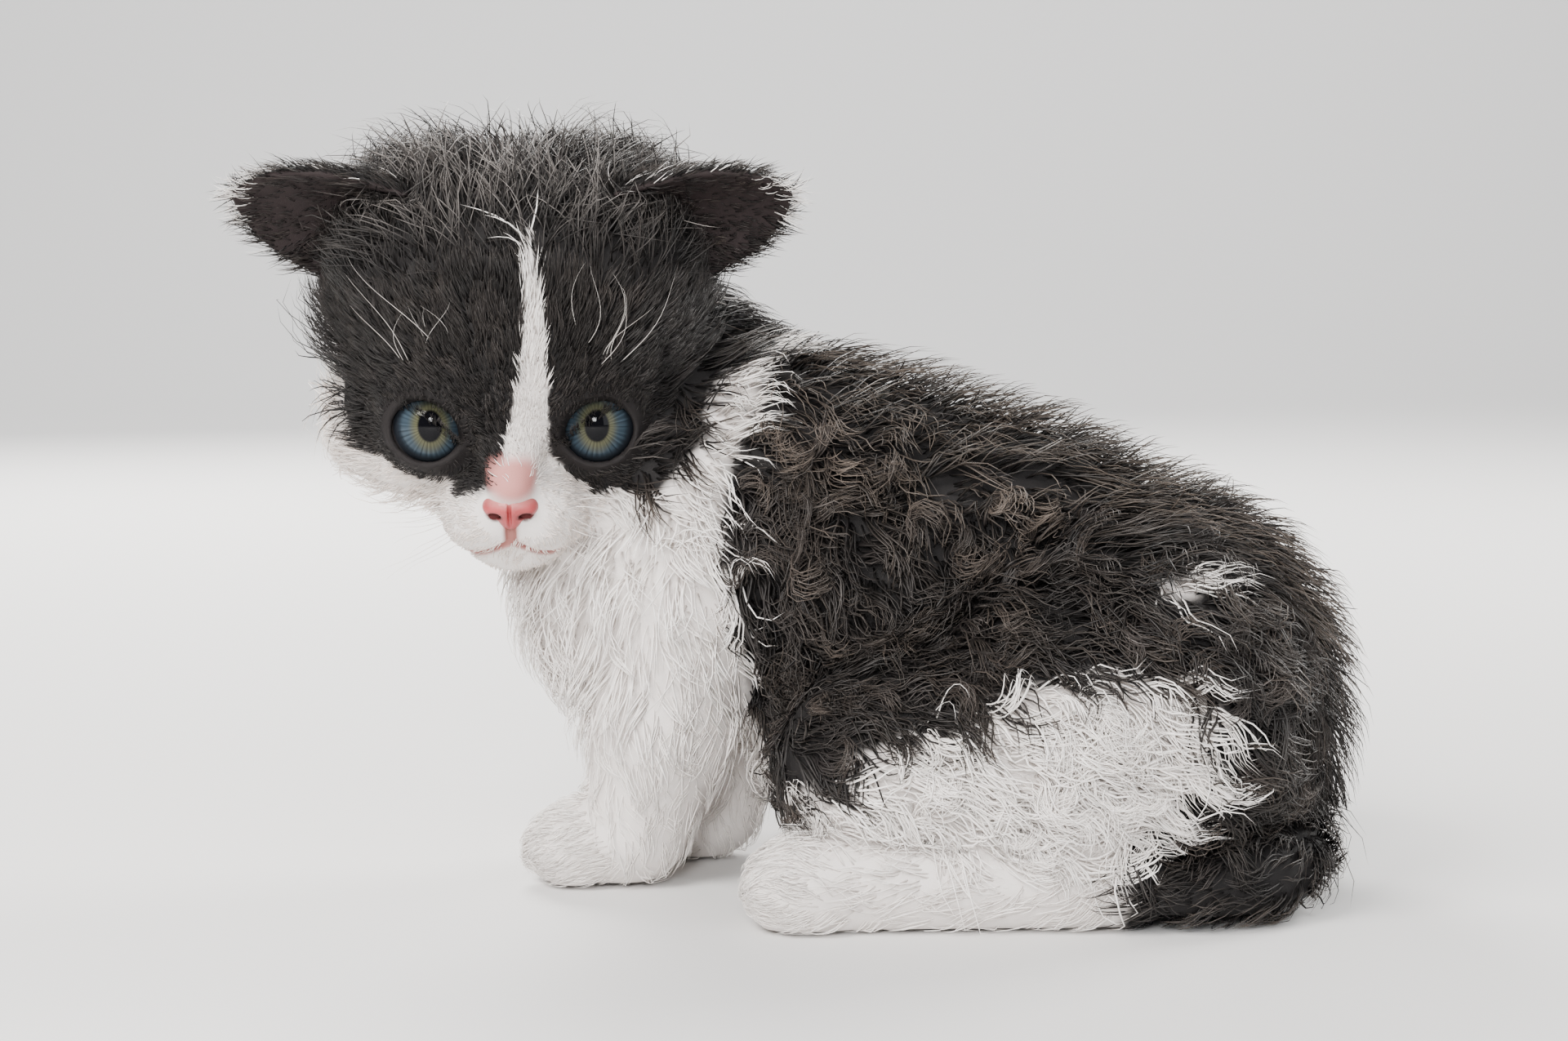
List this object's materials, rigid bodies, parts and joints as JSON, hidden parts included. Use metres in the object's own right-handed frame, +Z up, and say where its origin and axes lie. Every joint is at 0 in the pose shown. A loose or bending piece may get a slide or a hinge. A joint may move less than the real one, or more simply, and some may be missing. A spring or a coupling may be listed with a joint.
{
  "type": "curly-coated rex kitten",
  "caption": "Life-size still model of a black and white curly-coated rex kitten, sitting with its head turned to its left.",
  "frame": {"origin": "on the floor, under the middle of the bounding box", "axes": "+Z up, the body faces -X and its left side faces -Y; the head is turned to face about -Y"},
  "size_m": [0.1874, 0.1044, 0.1267],
  "materials": {
    "head_coat": "short soft fur, black mask with a white blaze and muzzle",
    "black_coat": "curly black fur with brown and grey tips",
    "white_coat": "soft white fur, faintly cream and pink",
    "nose_skin": "moist pink nose leather, lips and lid rims",
    "eye": "wet, blue-grey kitten iris with a dark pupil"
  },
  "bodies": {
    "root": {"head": "head_coat", "ear_left": "black_coat", "ear_right": "black_coat", "eye_left": "eye", "eye_right": "eye", "neck": "white_coat", "torso": "black_coat", "tail": "black_coat", "foreleg_left": "white_coat", "foreleg_right": "white_coat", "hind_leg_left": "white_coat", "hind_leg_right": "white_coat"}
  },
  "joints": []
}
